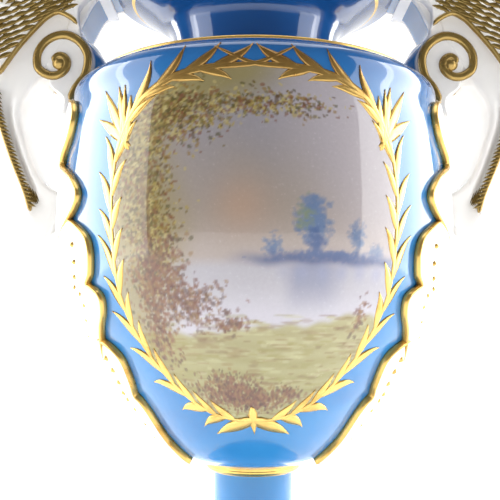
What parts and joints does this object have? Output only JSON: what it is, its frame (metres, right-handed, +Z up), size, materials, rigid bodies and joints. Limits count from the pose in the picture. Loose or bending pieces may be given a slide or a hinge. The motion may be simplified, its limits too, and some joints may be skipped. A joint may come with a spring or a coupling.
{
  "type": "lidded vase",
  "caption": "Footed ovoid vase with a flared neck, scrolled leaf handles, leaf husks down its flanks and a loose domed lid with a bud finial",
  "frame": {"origin": "middle of the underside of the foot", "axes": "+Z up along the turned axis, the painted front faces -Y, the handles lie along X"},
  "size_m": [0.2196, 0.15, 0.3323],
  "materials": {
    "vase_glaze": "gloss glaze in sky blue with white relief and gilding",
    "lid_glaze": "gloss glaze in sky blue with gilding"
  },
  "bodies": {
    "root": {"vase": "vase_glaze", "lid": "lid_glaze"}
  },
  "joints": []
}
